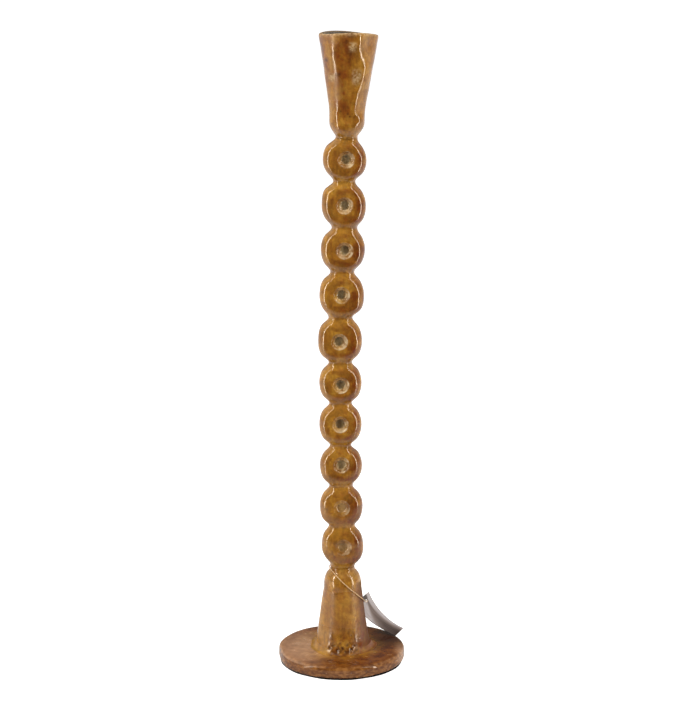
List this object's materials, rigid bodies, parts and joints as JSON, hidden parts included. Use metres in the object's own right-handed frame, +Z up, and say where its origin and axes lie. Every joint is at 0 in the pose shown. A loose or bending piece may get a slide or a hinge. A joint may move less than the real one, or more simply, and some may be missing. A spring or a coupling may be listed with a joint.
{
  "type": "candle stand",
  "caption": "Tall glazed stoneware candle stand: round plate, shouldered foot, stack of dimpled clay discs on edge and a flared cup that holds one candle; paper tag on a string.",
  "frame": {"origin": "centre of the underside, on the surface the stand stands on", "axes": "+Z up along the stack, front (the side with the dimples that the picture shows) towards -Y, +X to the right"},
  "size_m": [0.1155, 0.115, 0.5738],
  "materials": {
    "honey_glaze": "glossy honey-amber glaze",
    "honey_glaze_dull": "thinner, duller honey glaze",
    "felt": "pressed felt",
    "string": "twisted thread",
    "paper": "plain uncoated card"
  },
  "bodies": {
    "stand": {"felt_pad": "felt", "base_plate": "honey_glaze_dull", "foot_column": "honey_glaze", "disc_01": "honey_glaze", "disc_02": "honey_glaze", "disc_03": "honey_glaze", "disc_04": "honey_glaze", "disc_05": "honey_glaze", "disc_06": "honey_glaze", "disc_07": "honey_glaze", "disc_08": "honey_glaze", "disc_09": "honey_glaze", "disc_10": "honey_glaze", "candle_cup": "honey_glaze"},
    "string": {"tag_string": "string", "string_knot": "string"},
    "tag": {"paper_tag": "paper"}
  },
  "joints": [
    {"name": "string_turn", "type": "hinge", "parent": "stand", "child": "string", "pos_m": [0.0009, 0, 0.0885], "axis": [0, 0, 1], "continuous": true},
    {"name": "tag_swing", "type": "hinge", "parent": "string", "child": "tag", "pos_m": [0.02322, 0.044, 0.03977], "axis": [-0.3616, -0.9323, 0], "range_deg": [0, 50]}
  ]
}
